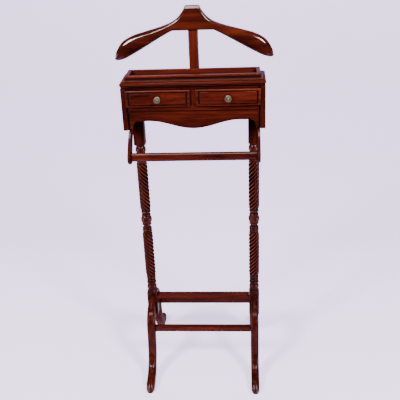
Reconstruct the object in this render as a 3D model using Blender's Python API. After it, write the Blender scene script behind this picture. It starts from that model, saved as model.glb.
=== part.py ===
"""Valet stand: two rope-turned posts on curved legs carry a two-drawer box, a trouser bar and a hanger.

Metres, +Z up. The front faces -Y, and left and right are as seen from the front. The origin is on
the floor, midway between the four feet.
"""

import math

import bmesh
import bpy

GAP = 0.0003  # clearance kept between pieces that touch
BOARD_EDGE = 0.0015

# Posts
POST_X = 0.1785
BLOCK_HALF = 0.0175
TWIST_STRANDS = 8
POST_SIDES = 2 * TWIST_STRANDS
TWIST_TURNS = 1.5
TWIST_ROWS = 18
TWIST_RADIUS = 0.0158
TWIST_GROOVE = 0.0019
TWIST_NARROWING = 0.0020
TWIST_ENTRY = 12.0
UPPER_TWIST = (0.7565, 0.5910)
LOWER_TWIST = (0.5040, 0.3365)
LOWER_BLOCK_TOP = 0.2650
LOWER_BLOCK_FOOT = 0.1790
UPPER_BLOCK_FOOT = 0.8255
BLOCK_SHOULDER = 0.0045
BLOCK_SHOULDER_RADIUS = 0.0205

# Turned parts of a post between its square and twisted parts, downwards, as (height, radius)
UPPER_TURNING = [
    (0.8170, 0.0140), (0.8140, 0.0122), (0.8090, 0.0152), (0.8015, 0.0165), (0.7940, 0.0150),
    (0.7890, 0.0118), (0.7830, 0.0112), (0.7775, 0.0145), (0.7730, 0.0122), (0.7690, 0.0155),
    (0.7650, 0.0125), (0.7610, 0.0162), (0.7580, 0.0140),
]
MIDDLE_TURNING = [
    (0.5880, 0.0125), (0.5850, 0.0125), (0.5815, 0.0160), (0.5780, 0.0125), (0.5725, 0.0117),
    (0.5700, 0.0152), (0.5675, 0.0117), (0.5660, 0.0138), (0.5600, 0.0172), (0.5535, 0.0182),
    (0.5470, 0.0172), (0.5410, 0.0138), (0.5386, 0.0120), (0.5362, 0.0155), (0.5338, 0.0120),
    (0.5290, 0.0105), (0.5247, 0.0120), (0.5225, 0.0155), (0.5203, 0.0120), (0.5194, 0.0125),
    (0.5168, 0.0160), (0.5142, 0.0125), (0.5126, 0.0120), (0.5100, 0.0155), (0.5074, 0.0120),
    (0.5060, 0.0125),
]
LOWER_TURNING = [
    (0.3345, 0.0125), (0.3325, 0.0125), (0.3293, 0.0160), (0.3261, 0.0125), (0.3216, 0.0120),
    (0.3186, 0.0155), (0.3156, 0.0120), (0.3111, 0.0130), (0.3079, 0.0165), (0.3047, 0.0130),
    (0.3010, 0.0120), (0.2955, 0.0155), (0.2905, 0.0165), (0.2840, 0.0140), (0.2765, 0.0105),
    (0.2715, 0.0120),
]

# Box
BOX_HALF = 0.2112
FRONT_Y = -0.0840
BACK_Y = 0.0255
TOP_Z = 1.0395
TOP_THICK = 0.0160
TOP_OVERHANG = 0.0015
TOP_EDGE = [  # (distance in from the edge, height above the underside)
    (0.0055, 0.0), (0.0055, 0.0015), (0.0020, 0.0045), (0.0, 0.0080), (0.0, 0.0125), (0.0012, 0.0150),
    (0.0040, TOP_THICK),
]
SIDE_FOOT = 0.8940
SIDE_THICK = 0.0150
FRAME_THICK = 0.0120
STILE_WIDTH = 0.0197
STILE_STEP = 0.0040
STILE_EASE = 0.0020
CENTRE_STILE_HALF = 0.0138
OPENING_LOW = 0.9720
OPENING_HIGH = 1.0115
BOTTOM_RAIL_FOOT = 0.9530
BOTTOM_THICK = 0.0100
BACK_THICK = 0.0100
UNDER_TOP = TOP_Z - TOP_THICK
FLOOR_Z = OPENING_LOW - GAP
SIDE_INNER = BOX_HALF - SIDE_THICK
STILE_INNER = BOX_HALF - STILE_WIDTH
FRAME_BACK_Y = FRONT_Y + FRAME_THICK

# Apron
APRON_SETBACK = 0.0050
APRON_THICK = 0.0120
APRON_EDGE = 0.9212
APRON_DROP = 0.0247
APRON_DROP_HALF = 0.1350
BRACKET_WIDTH = 0.0245
BRACKET_LAND = 0.0080
BRACKET_FOOT = 0.8970

# Gallery
GALLERY_HEIGHT = 0.0160
GALLERY_TOP_WIDTH = 0.0110
GALLERY_FOOT_WIDTH = 0.0185
GALLERY_FILLET = 0.0020
GALLERY_COVE = 0.0080
GALLERY_EASE = 0.0015
GALLERY_HALF = 0.2040
GALLERY_FRONT = -0.0800
GALLERY_BACK = 0.0155

# Drawers
LIP_INNER = 0.0088
LIP_OUTER = 0.1972
LIP_LOW = 0.9670
LIP_HIGH = 1.0160
LIP_THICK = 0.0060
LIP_FACE = [  # (distance in from the ends, from top and bottom, depth below the face)
    (0.0, 0.0, 0.0025), (0.0020, 0.0015, 0.0), (0.0080, 0.0045, 0.0), (0.0092, 0.0056, 0.0022),
    (0.0104, 0.0064, 0.0022), (0.0116, 0.0075, 0.0),
]
DRAWER_CLEAR = 0.0010
DRAWER_WALL = 0.0070
DRAWER_WALL_HEIGHT = 0.0310
DRAWER_BOTTOM = 0.0040
DRAWER_BOTTOM_RAISE = 0.0020
DRAWER_REAR = 0.0100
GUIDE_HEIGHT = 0.0150

# Knobs: profile as (distance in front of the drawer, radius)
KNOB_SIDES = 20
KNOB_BORE = 0.0100
KNOB_PROFILE = [
    (0.0, 0.0075), (0.0015, 0.0075), (0.0030, 0.0045), (0.0080, 0.0042), (0.0105, 0.0080),
    (0.0130, 0.0096), (0.0150, 0.0088), (0.0160, 0.0065), (0.0152, 0.0055), (0.0160, 0.0045),
    (0.0172, 0.0022), (0.0175, 0.0),
]

# Screws
SCREW_SIDES = 12
SCREW_BITE = 0.0080
SCREW_RADIUS = 0.0018
SCREW_HOLE = 0.0021
SCREW_HEAD_RADIUS = 0.0042
SCREW_HEAD_HEIGHT = 0.0020
UPRIGHT_SCREW_Z = (0.9780, 1.0090)

# Trouser bar and its arms
BAR_Y = -0.1285
BAR_Z = 0.8264
BAR_RADIUS = 0.0130
BAR_SIDES = 16
TENON_RADIUS = 0.0070
ARM_THICK = 0.0075
BOSS_THICK = 0.0030
BOSS_RADIUS = 0.0202
BOSS_SIDES = 20
LOBE_RADIUS = 0.0208
LOBE_TURN = (-40, -225)  # degrees from the rear: where the arm's rear and front edges meet the lobe
LOBE_STEPS = 12
ARM_REAR_EDGE = [  # (y, z)
    (-0.0300, 0.9050), (-0.0430, 0.8860), (-0.0625, 0.8680), (-0.0770, 0.8490), (-0.0880, 0.8350),
    (-0.1000, 0.8215),
]
ARM_FRONT_EDGE = [(-0.1380, 0.8460), (-0.1220, 0.8630), (-0.1060, 0.8780), (-0.0880, 0.8905)]  # (y, z)
ARM_ROOT_FRONT = -0.0655
ARM_ROOT_FOOT = 0.8930

# Stretchers
CENTRE_TOP = 0.2545
CENTRE_THICK = 0.0095
CENTRE_HALF_DEPTH = 0.0170
STRETCHER_Y = 0.0850
STRETCHER_SIDE = 0.0190
STRETCHER_FOOT = 0.1630
STRETCHER_EDGE = 0.0020

# Legs: outer and inner curve in side view, as (distance from the post's axis, height)
LEG_WIDTH = 0.0270
LEG_ROUND = 0.0100
LEG_ROUND_SHARE = 0.6
LEG_EASE = 0.0040
LEG_EASE_SHARE = 0.2
ROOT_NARROWING = 0.14
KNEE_STEPS = 8
TOE_START = 0.2080
TOE_END = 0.2260
TOE_NARROWING = 0.45
LEG_OUTER = [
    (BLOCK_HALF + GAP, 0.2580), (0.0520, 0.2480), (0.0850, 0.2270), (0.1040, 0.1900),
    (0.1130, 0.1300), (0.1260, 0.0780), (0.1560, 0.0450), (0.1980, 0.0330), (TOE_END, 0.0110),
]
LEG_INNER = [
    (BLOCK_HALF + GAP, 0.1840), (0.0400, 0.1850), (0.0560, 0.1790), (0.0680, 0.1620),
    (0.0790, 0.1220), (0.0950, 0.0700), (0.1330, 0.0220), (0.1860, 0.0000), (0.2200, 0.0000),
]

# Hanger: top and bottom outline as (distance from the middle, height above the seat)
HANGER_SEAT = 1.1600
HANGER_Y = 0.0358
HANGER_HALF_DEPTH = 0.0165
HANGER_SIDES = 12
HANGER_SQUARENESS = 0.55
HANGER_TIP_START = 0.2050
HANGER_TIP_END = 0.2385
HANGER_TIP_NARROWING = 0.55
HANGER_TOP = [
    (0.0000, 0.0735), (0.0208, 0.0730), (0.0250, 0.0650), (0.0325, 0.0528), (0.0450, 0.0390),
    (0.0650, 0.0262), (0.1000, 0.0139), (0.1500, 0.0004), (0.1800, -0.0086), (0.2050, -0.0208),
    (0.2200, -0.0339), (0.2320, -0.0520), (HANGER_TIP_END, -0.0700),
]
HANGER_BOTTOM = [
    (0.0000, 0.0028), (0.0600, 0.0028), (0.0660, 0.0005), (0.1000, -0.0179), (0.1500, -0.0465),
    (0.1900, -0.0682), (0.2100, -0.0775), (0.2250, -0.0818), (HANGER_TIP_END, -0.0790),
]
UPRIGHT_HALF_WIDTH = 0.0145
UPRIGHT_FOOT = 0.9620
UPRIGHT_EDGE = 0.0030
UPRIGHT_Y = (BACK_Y + GAP, 0.0458)

MAHOGANY = (0.110, 0.022, 0.010)
SECONDARY_WOOD = (0.300, 0.170, 0.090)
AGED_BRASS = (0.420, 0.330, 0.230)
STEEL = (0.400, 0.390, 0.370)


# ---- Scene, materials and basic shapes ----

def clear_scene():
    for old in list(bpy.data.objects):
        bpy.data.objects.remove(old, do_unlink=True)


def make_material(name, colour, roughness, metallic):
    material = bpy.data.materials.new(name)
    material.use_nodes = True
    shader = material.node_tree.nodes["Principled BSDF"]
    shader.inputs["Base Color"].default_value = (*colour, 1.0)
    shader.inputs["Roughness"].default_value = roughness
    shader.inputs["Metallic"].default_value = metallic
    return material


def add_piece(name, bm, colour=MAHOGANY, roughness=0.25, metallic=0.0, smooth=False, parent=None):
    """Turn a bmesh into a named object with a material of its own."""
    bmesh.ops.recalc_face_normals(bm, faces=bm.faces)
    mesh = bpy.data.meshes.new(name)
    bm.to_mesh(mesh)
    bm.free()
    if smooth:
        mesh.shade_smooth()
        mesh.set_sharp_from_angle(angle=math.radians(40))
    mesh.materials.append(make_material(name, colour, roughness, metallic))
    piece = bpy.data.objects.new(name, mesh)
    bpy.context.collection.objects.link(piece)
    piece.parent = parent
    return piece


def block_mesh(low, high):
    """A bmesh box between two corners."""
    bm = bmesh.new()
    bmesh.ops.create_cube(bm, size=1.0)
    for vert in bm.verts:
        for axis in range(3):
            vert.co[axis] = high[axis] if vert.co[axis] > 0 else low[axis]
    return bm


def ease_edges(piece, width):
    """Round a piece's sharp edges a little."""
    bevel = piece.modifiers.new("eased_edges", "BEVEL")
    bevel.width = width
    bevel.segments = 2
    bevel.limit_method = "ANGLE"
    bevel.angle_limit = math.radians(60)


def add_block(name, low, high, edge=0.0, **looks):
    piece = add_piece(name, block_mesh(low, high), **looks)
    if edge:
        ease_edges(piece, edge)
    return piece


def loft(rings):
    """A closed bmesh skin over rings that all have the same number of points."""
    bm = bmesh.new()
    loops = [[bm.verts.new(point) for point in ring] for ring in rings]
    count = len(loops[0])
    for first, second in zip(loops, loops[1:]):
        for i in range(count):
            j = (i + 1) % count
            bm.faces.new((first[i], first[j], second[j], second[i]))
    bm.faces.new(loops[0])
    bm.faces.new(reversed(loops[-1]))
    return bm


def turned(profile, sides, axis):
    """Spin a profile of (place along the axis, radius), which starts and ends on the axis."""
    across = [i for i in range(3) if i != axis]
    bm = bmesh.new()
    loops = []
    for place, radius in profile[1:-1]:
        loop = []
        for i in range(sides):
            angle = 2 * math.pi * i / sides
            point = [0.0, 0.0, 0.0]
            point[axis] = place
            point[across[0]] = radius * math.cos(angle)
            point[across[1]] = radius * math.sin(angle)
            loop.append(bm.verts.new(point))
        loops.append(loop)
    for end, loop in ((profile[0][0], loops[0]), (profile[-1][0], loops[-1])):
        point = [0.0, 0.0, 0.0]
        point[axis] = end
        centre = bm.verts.new(point)
        for i in range(sides):
            bm.faces.new((centre, loop[i], loop[(i + 1) % sides]))
    for first, second in zip(loops, loops[1:]):
        for i in range(sides):
            j = (i + 1) % sides
            bm.faces.new((first[i], first[j], second[j], second[i]))
    return bm


def move(bm, offset):
    bmesh.ops.translate(bm, verts=bm.verts, vec=offset)
    return bm


def extrude_outline(outline, axis, low, high):
    """A prism: an outline across one axis, carried along it from low to high."""
    rings = []
    for place in (low, high):
        ring = []
        for first, second in outline:
            point = [first, second]
            point.insert(axis, place)
            ring.append(tuple(point))
        rings.append(ring)
    return loft(rings)


def merge(meshes):
    """Several bmeshes as the separate bodies of one."""
    joined = bmesh.new()
    for bm in meshes:
        mesh = bpy.data.meshes.new("joined")
        bm.to_mesh(mesh)
        bm.free()
        joined.from_mesh(mesh)
        bpy.data.meshes.remove(mesh)
    return joined


def cut(piece, cutter):
    boolean = piece.modifiers.new("cut", "BOOLEAN")
    boolean.operation = "DIFFERENCE"
    boolean.object = cutter


def join(piece, part):
    boolean = piece.modifiers.new("join", "BOOLEAN")
    boolean.operation = "UNION"
    boolean.object = part


def rod_profile(half_length, radius):
    """Profile of a plain rod centred on its axis' zero: (place on the axis, radius)."""
    return [(-half_length, 0.0), (-half_length, radius), (half_length, radius), (half_length, 0.0)]


def add_cutter(name, bm, parent=None):
    cutter = add_piece(name, bm, parent=parent)
    cutter.hide_render = True
    cutter.display_type = "WIRE"
    return cutter


def curve_through(points, steps):
    """A smooth (Catmull-Rom) curve through points, with a number of steps between each two."""
    def blend(p, q, r, s, t):
        linear = 2 * q + (r - p) * t
        square = (2 * p - 5 * q + 4 * r - s) * t ** 2
        cube = (3 * q - p - 3 * r + s) * t ** 3
        return 0.5 * (linear + square + cube)

    padded = [points[0], *points, points[-1]]
    curve = []
    for neighbours in zip(padded, padded[1:], padded[2:], padded[3:]):
        for i in range(steps):
            curve.append(tuple(blend(*values, i / steps) for values in zip(*neighbours)))
    curve.append(points[-1])
    return curve


def height_at(outline, place):
    """Height of an outline of (place, height) points at a place, along straight lines."""
    for (x0, z0), (x1, z1) in zip(outline, outline[1:]):
        if place <= x1:
            return z0 + (z1 - z0) * (place - x0) / (x1 - x0)
    return outline[-1][1]


# ---- Posts ----

def block_radius(angle, limit):
    """Distance to the side of the square block, held inside a circle that rounds its corners."""
    square = BLOCK_HALF / max(abs(math.cos(angle)), abs(math.sin(angle)))
    return min(square, limit)


def post_ring(x, z, turn, radius_of):
    ring = []
    for i in range(POST_SIDES):
        angle = turn + 2 * math.pi * i / POST_SIDES
        radius = radius_of(i, angle)
        ring.append((x + radius * math.cos(angle), radius * math.sin(angle), z))
    return ring


def square_rings(x, turn, stations):
    """Block rings from (height, corner limit)."""
    return [
        post_ring(x, z, turn, lambda i, angle, r=limit: block_radius(angle, r)) for z, limit in stations
    ]


def round_rings(x, turn, stations):
    """Turned rings from (height, radius)."""
    return [post_ring(x, z, turn, lambda i, angle, r=radius: r) for z, radius in stations]


def twist_rings(x, turn, span, hand):
    """A rope-twist barrel: ridges and grooves that wind down the post and fade out at both ends."""
    rings = []
    for row in range(TWIST_ROWS + 1):
        t = row / TWIST_ROWS
        swell = min(1.0, TWIST_ENTRY * t, TWIST_ENTRY * (1.0 - t))
        middle = TWIST_RADIUS - TWIST_NARROWING * (1.0 - swell)
        depth = TWIST_GROOVE * swell
        z = span[0] + (span[1] - span[0]) * t
        angle = turn - hand * 2 * math.pi * TWIST_TURNS * t
        rings.append(post_ring(x, z, angle, lambda i, a, m=middle, d=depth: m + (d if i % 2 else -d)))
    return rings


def make_post(side, name):
    x = side * POST_X
    hand = side  # the two posts wind in opposite directions
    corner = BLOCK_HALF * math.sqrt(2)
    top = FLOOR_Z - BOTTOM_THICK - GAP
    shoulder = (UPPER_BLOCK_FOOT - BLOCK_SHOULDER, BLOCK_SHOULDER_RADIUS)
    rings = square_rings(x, 0.0, [(top, corner), (UPPER_BLOCK_FOOT, corner), shoulder])
    rings += round_rings(x, 0.0, UPPER_TURNING)
    rings += twist_rings(x, 0.0, UPPER_TWIST, hand)
    turn = -hand * 2 * math.pi * TWIST_TURNS
    rings += round_rings(x, turn, MIDDLE_TURNING)
    rings += twist_rings(x, turn, LOWER_TWIST, hand)
    turn *= 2
    rings += round_rings(x, turn, LOWER_TURNING)
    shoulder = (LOWER_BLOCK_TOP + BLOCK_SHOULDER, BLOCK_SHOULDER_RADIUS)
    rings += square_rings(x, turn, [shoulder, (LOWER_BLOCK_TOP, corner), (LOWER_BLOCK_FOOT, corner)])
    add_piece(name, loft(rings), smooth=True)


def make_posts():
    make_post(-1, "left_post")
    make_post(1, "right_post")


# ---- Legs and stretchers ----

def leg_ring(x, facing, step, outer, inner):
    """One section of a leg: rounded outside, eased inside, narrower at the root and at the toe."""
    depth = math.dist(outer, inner)
    round_part = min(LEG_ROUND, LEG_ROUND_SHARE * depth)
    toe = max(0.0, (outer[0] - TOE_START) / (TOE_END - TOE_START))
    root = max(0.0, 1.0 - step / KNEE_STEPS)
    half = LEG_WIDTH / 2 * (1.0 - TOE_NARROWING * toe ** 2 - ROOT_NARROWING * root)
    ease = min(LEG_EASE, LEG_EASE_SHARE * depth)
    section = [(-half + ease, 0.0), (-half, ease)]
    for i in range(7):
        angle = math.pi * i / 6
        section.append((-half * math.cos(angle), depth - round_part + round_part * math.sin(angle)))
    section += [(half, ease), (half - ease, 0.0)]
    across = [(o - i) / depth for o, i in zip(outer, inner)]
    return [(x + u, facing * (inner[0] + across[0] * v), inner[1] + across[1] * v) for u, v in section]


def make_legs():
    outer = curve_through(LEG_OUTER, 3)
    inner = [(y, max(0.0, z)) for y, z in curve_through(LEG_INNER, 3)]
    for side, side_name in ((-1, "left"), (1, "right")):
        for facing, facing_name in ((-1, "front"), (1, "rear")):
            x = side * POST_X
            rings = [leg_ring(x, facing, step, o, i) for step, (o, i) in enumerate(zip(outer, inner))]
            add_piece(f"{facing_name}_{side_name}_leg", loft(rings), smooth=True)


def make_stretchers():
    reach = POST_X - BLOCK_HALF - GAP
    low = (-reach, -CENTRE_HALF_DEPTH, CENTRE_TOP - CENTRE_THICK)
    add_block("centre_stretcher", low, (reach, CENTRE_HALF_DEPTH, CENTRE_TOP), edge=BOARD_EDGE)
    reach = POST_X - LEG_WIDTH / 2 - GAP
    half = STRETCHER_SIDE / 2
    for facing, name in ((-1, "front_stretcher"), (1, "rear_stretcher")):
        y = facing * STRETCHER_Y
        low = (-reach, y - half, STRETCHER_FOOT)
        high = (reach, y + half, STRETCHER_FOOT + STRETCHER_SIDE)
        add_block(name, low, high, edge=STRETCHER_EDGE)


# ---- Box carcass ----

def make_top_board():
    """Board with a quarter-round edge under a small step, along its front and both ends."""
    half = BOX_HALF + TOP_OVERHANG
    front = FRONT_Y - TOP_OVERHANG
    rings = []
    for inset, height in TOP_EDGE:
        x = half - inset
        y = front + inset
        z = UNDER_TOP + height
        rings.append([(-x, y, z), (x, y, z), (x, BACK_Y, z), (-x, BACK_Y, z)])
    add_piece("top_board", loft(rings))


def make_side_panels():
    for side, name in ((-1, "left_side_panel"), (1, "right_side_panel")):
        low_x, high_x = sorted((side * SIDE_INNER, side * BOX_HALF))
        low = (low_x, FRAME_BACK_Y + GAP, SIDE_FOOT)
        add_block(name, low, (high_x, BACK_Y, UNDER_TOP - GAP), edge=BOARD_EDGE)


def make_back_panel():
    reach = SIDE_INNER - GAP
    low = (-reach, BACK_Y - BACK_THICK, FLOOR_Z - BOTTOM_THICK)
    high = (reach, BACK_Y, UNDER_TOP - GAP)
    return add_block("back_panel", low, high, colour=SECONDARY_WOOD, roughness=0.5)


def make_bottom_board():
    reach = SIDE_INNER - GAP
    low = (-reach, FRAME_BACK_Y + GAP, FLOOR_Z - BOTTOM_THICK)
    high = (reach, BACK_Y - BACK_THICK - GAP, FLOOR_Z)
    add_block("bottom_board", low, high, colour=SECONDARY_WOOD, roughness=0.5)


def stile_outline():
    """Plan of a stile: a rounded outer part, with a lower step on its inner side."""
    inner = STILE_INNER + GAP
    step = BOX_HALF - SIDE_THICK + GAP
    return [
        (inner, FRAME_BACK_Y), (inner, FRONT_Y + STILE_STEP), (step, FRONT_Y + STILE_STEP),
        (step, FRONT_Y), (BOX_HALF, FRONT_Y), (BOX_HALF, FRAME_BACK_Y),
    ]


def make_face_frame():
    for side, name in ((-1, "left_stile"), (1, "right_stile")):
        outline = [(side * x, y) for x, y in stile_outline()]
        ease_edges(add_piece(name, extrude_outline(outline, 2, SIDE_FOOT, UNDER_TOP - GAP)), STILE_EASE)
    top = UNDER_TOP - GAP
    add_block("top_rail", (-STILE_INNER, FRONT_Y, OPENING_HIGH), (STILE_INNER, FRAME_BACK_Y, top))
    low = (-CENTRE_STILE_HALF, FRONT_Y, OPENING_LOW + GAP)
    add_block("centre_stile", low, (CENTRE_STILE_HALF, FRAME_BACK_Y, OPENING_HIGH - GAP))
    low = (-STILE_INNER, FRONT_Y, BOTTOM_RAIL_FOOT)
    add_block("bottom_rail", low, (STILE_INNER, FRAME_BACK_Y, OPENING_LOW), edge=BOARD_EDGE)


def apron_edge(x):
    """Height of the apron's lower edge: a shallow drop in the middle, and a bracket at each end."""
    x = abs(x)
    bracket_start = STILE_INNER - BRACKET_WIDTH
    if x < APRON_DROP_HALF:
        return APRON_EDGE - APRON_DROP * (0.5 + 0.5 * math.cos(math.pi * x / APRON_DROP_HALF))
    if x <= bracket_start:
        return APRON_EDGE
    along = min(1.0, (x - bracket_start) / (BRACKET_WIDTH - BRACKET_LAND))
    return BRACKET_FOOT + (APRON_EDGE - BRACKET_FOOT) * math.sqrt(1.0 - along ** 2)


def make_apron():
    places = [APRON_DROP_HALF * i / 8 for i in range(9)]
    for i in range(7):
        along = math.sin(math.pi * i / 12)
        places.append(STILE_INNER - BRACKET_WIDTH + (BRACKET_WIDTH - BRACKET_LAND) * along)
    half = [(x, apron_edge(x)) for x in [*places, STILE_INNER]]
    outline = [(-x, z) for x, z in reversed(half[1:])] + half
    top = BOTTOM_RAIL_FOOT - GAP
    outline += [(STILE_INNER, top), (-STILE_INNER, top)]
    y = FRONT_Y + APRON_SETBACK
    add_piece("apron", extrude_outline(outline, 1, y, y + APRON_THICK))


def make_guides():
    """Strips on the bottom board that keep the drawers straight."""
    rear = BACK_Y - BACK_THICK - GAP
    top = FLOOR_Z + GAP + GUIDE_HEIGHT
    for name, low_x, high_x in (
        ("left_guide", -SIDE_INNER + GAP, -STILE_INNER),
        ("centre_guide", -CENTRE_STILE_HALF, CENTRE_STILE_HALF),
        ("right_guide", STILE_INNER, SIDE_INNER - GAP),
    ):
        low = (low_x, FRAME_BACK_Y + GAP, FLOOR_Z + GAP)
        add_block(name, low, (high_x, rear, top), colour=SECONDARY_WOOD, roughness=0.5)


def gallery_section(position):
    """Moulding section as (distance in from the outer foot, height): a square bead over a cove."""
    slope = GALLERY_FOOT_WIDTH - GALLERY_TOP_WIDTH
    base = TOP_Z + GAP
    top = base + GALLERY_HEIGHT
    section = [(0.0, base)]
    for angle in (math.radians(degrees) for degrees in (0, 25, 55, 90)):
        height = base + GALLERY_FILLET + GALLERY_COVE * (1 - math.cos(angle))
        section.append((slope * math.sin(angle), height))
    section += [(slope, top - GALLERY_EASE), (slope + GALLERY_EASE, top)]
    section += [(GALLERY_FOOT_WIDTH, top), (GALLERY_FOOT_WIDTH, base)]
    return [position(inward, z) for inward, z in section]


def make_gallery():
    """Four moulded rails, mitred at the corners, around a shallow tray."""
    def along_x(front_y, inwards, end):
        mitre = GALLERY_HALF - GAP
        return gallery_section(lambda inward, z: (end * (mitre - inward), front_y + inwards * inward, z))

    def along_y(side, end_y, inwards):
        return gallery_section(
            lambda inward, z: (side * (GALLERY_HALF - inward), end_y + inwards * (inward + GAP), z)
        )

    add_piece("gallery_front_rail", loft([along_x(GALLERY_FRONT, 1, -1), along_x(GALLERY_FRONT, 1, 1)]))
    add_piece("gallery_back_rail", loft([along_x(GALLERY_BACK, -1, -1), along_x(GALLERY_BACK, -1, 1)]))
    add_piece("gallery_left_rail", loft([along_y(-1, GALLERY_FRONT, 1), along_y(-1, GALLERY_BACK, -1)]))
    add_piece("gallery_right_rail", loft([along_y(1, GALLERY_FRONT, 1), along_y(1, GALLERY_BACK, -1)]))


# ---- Drawers ----

def front_rings(width, height):
    """Rings of the drawer front, back to front: rebated body, lip, edge bead, groove and field."""
    body_x = width / 2 - (LIP_OUTER - STILE_INNER) - DRAWER_CLEAR
    body_z = (OPENING_HIGH - OPENING_LOW) / 2 - DRAWER_CLEAR
    stations = [(body_x, body_z, FRAME_THICK), (body_x, body_z, -GAP), (width / 2, height / 2, -GAP)]
    for in_x, in_z, depth in LIP_FACE:
        stations.append((width / 2 - in_x, height / 2 - in_z, depth - LIP_THICK - GAP))
    return [[(-x, y, -z), (x, y, -z), (x, y, z), (-x, y, z)] for x, z, y in stations]


def knob_profile():
    """Turned knob along -Y, with a bore for its screw: (place on the axis, radius)."""
    back = -LIP_THICK - 2 * GAP
    bore = [(back - KNOB_BORE, 0.0), (back - KNOB_BORE, SCREW_HOLE), (back, SCREW_HOLE)]
    return bore + [(back - forward, radius) for forward, radius in KNOB_PROFILE]


def screw_profile(seat, tip):
    """Pan-head screw along -Y: its head is behind the seat, and its shank ends at the tip."""
    crown = seat + SCREW_HEAD_HEIGHT
    rim = seat + SCREW_HEAD_HEIGHT / 2
    return [
        (crown, 0.0), (crown, 0.6 * SCREW_HEAD_RADIUS), (rim, SCREW_HEAD_RADIUS),
        (seat, SCREW_HEAD_RADIUS), (seat, SCREW_RADIUS), (tip, SCREW_RADIUS), (tip, 0.0),
    ]


def make_drawer(side, prefix):
    """One drawer, in the frame of an empty at the middle of its opening, on the face frame's front."""
    slide = bpy.data.objects.new(f"{prefix}_slide", None)
    slide.location = (side * (LIP_INNER + LIP_OUTER) / 2, FRONT_Y, (LIP_LOW + LIP_HIGH) / 2)
    bpy.context.collection.objects.link(slide)
    width = LIP_OUTER - LIP_INNER
    front = add_piece(f"{prefix}_front", loft(front_rings(width, LIP_HIGH - LIP_LOW)), parent=slide)
    bore = turned(rod_profile(2 * FRAME_THICK, SCREW_HOLE), SCREW_SIDES, 1)
    cut(front, add_cutter(f"{prefix}_screw_cutter", bore, parent=slide))

    wood = {"colour": SECONDARY_WOOD, "roughness": 0.5, "parent": slide}
    half = width / 2 - (LIP_OUTER - STILE_INNER) - DRAWER_CLEAR
    low_z = -(OPENING_HIGH - OPENING_LOW) / 2 + DRAWER_CLEAR
    high_z = low_z + DRAWER_WALL_HEIGHT
    near = FRAME_THICK + GAP
    far = DRAWER_REAR - FRONT_Y
    inner = half - DRAWER_WALL
    add_block(f"{prefix}_left_wall", (-half, near, low_z), (-inner, far, high_z), **wood)
    add_block(f"{prefix}_right_wall", (inner, near, low_z), (half, far, high_z), **wood)
    reach = inner - GAP
    add_block(f"{prefix}_back_wall", (-reach, far - DRAWER_WALL, low_z), (reach, far, high_z), **wood)
    floor = low_z + DRAWER_BOTTOM_RAISE
    rear = far - DRAWER_WALL - GAP
    add_block(f"{prefix}_bottom", (-reach, near, floor), (reach, rear, floor + DRAWER_BOTTOM), **wood)

    metal = {"metallic": 1.0, "smooth": True, "parent": slide}
    knob = turned(knob_profile(), KNOB_SIDES, 1)
    add_piece(f"{prefix}_knob", knob, colour=AGED_BRASS, roughness=0.35, **metal)
    screw = turned(screw_profile(FRAME_THICK + GAP, -LIP_THICK - SCREW_BITE), SCREW_SIDES, 1)
    add_piece(f"{prefix}_knob_screw", screw, colour=STEEL, roughness=0.4, **metal)


def make_drawers():
    make_drawer(-1, "left_drawer")
    make_drawer(1, "right_drawer")


# ---- Trouser bar ----

def arm_outline():
    """Side view of an arm: out of the box, forwards under its front, and down to a round lobe."""
    top = FLOOR_Z - BOTTOM_THICK - GAP
    start, end = LOBE_TURN
    lobe = []
    for i in range(LOBE_STEPS + 1):
        angle = math.radians(start + (end - start) * i / LOBE_STEPS)
        lobe.append((BAR_Y + LOBE_RADIUS * math.cos(angle), BAR_Z + LOBE_RADIUS * math.sin(angle)))
    rear = curve_through([*ARM_REAR_EDGE, lobe[0]], 3)
    front = curve_through([lobe[-1], *ARM_FRONT_EDGE], 3)
    root = [(ARM_ROOT_FRONT, ARM_ROOT_FOOT), (ARM_ROOT_FRONT, top)]
    return [(rear[0][0], top), *rear, *lobe[1:-1], *front, *root]


def make_trouser_bar():
    """A round bar on two arms. Its tenons pass through a boss on each arm's inner side."""
    outer = SIDE_INNER - GAP
    inner = outer - ARM_THICK
    boss = inner - BOSS_THICK
    place = (0.0, BAR_Y, BAR_Z)
    tenon = rod_profile(BOX_HALF, TENON_RADIUS + GAP)
    cutter = add_cutter("tenon_cutter", move(turned(tenon, BAR_SIDES, 0), place))
    for side, name in ((-1, "left_bar_arm"), (1, "right_bar_arm")):
        low, high = sorted((side * inner, side * outer))
        arm = add_piece(name, extrude_outline(arm_outline(), 0, low, high))
        sunk = inner + ARM_THICK / 2
        disc = turned(rod_profile((sunk - boss) / 2, BOSS_RADIUS), BOSS_SIDES, 0)
        join(arm, add_cutter(f"{name}_boss", move(disc, (side * (sunk + boss) / 2, BAR_Y, BAR_Z))))
        cut(arm, cutter)
    shoulder = boss - GAP
    profile = [
        (-outer, 0.0), (-outer, TENON_RADIUS), (-shoulder, TENON_RADIUS), (-shoulder, BAR_RADIUS),
        (shoulder, BAR_RADIUS), (shoulder, TENON_RADIUS), (outer, TENON_RADIUS), (outer, 0.0),
    ]
    add_piece("trouser_bar", move(turned(profile, BAR_SIDES, 0), place), smooth=True)


# ---- Hanger ----

def rounded(value):
    """Pull a circle's coordinate outwards, so that the circle becomes a rounded square."""
    return math.copysign((abs(value) / math.cos(math.pi / HANGER_SIDES)) ** HANGER_SQUARENESS, value)


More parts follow.
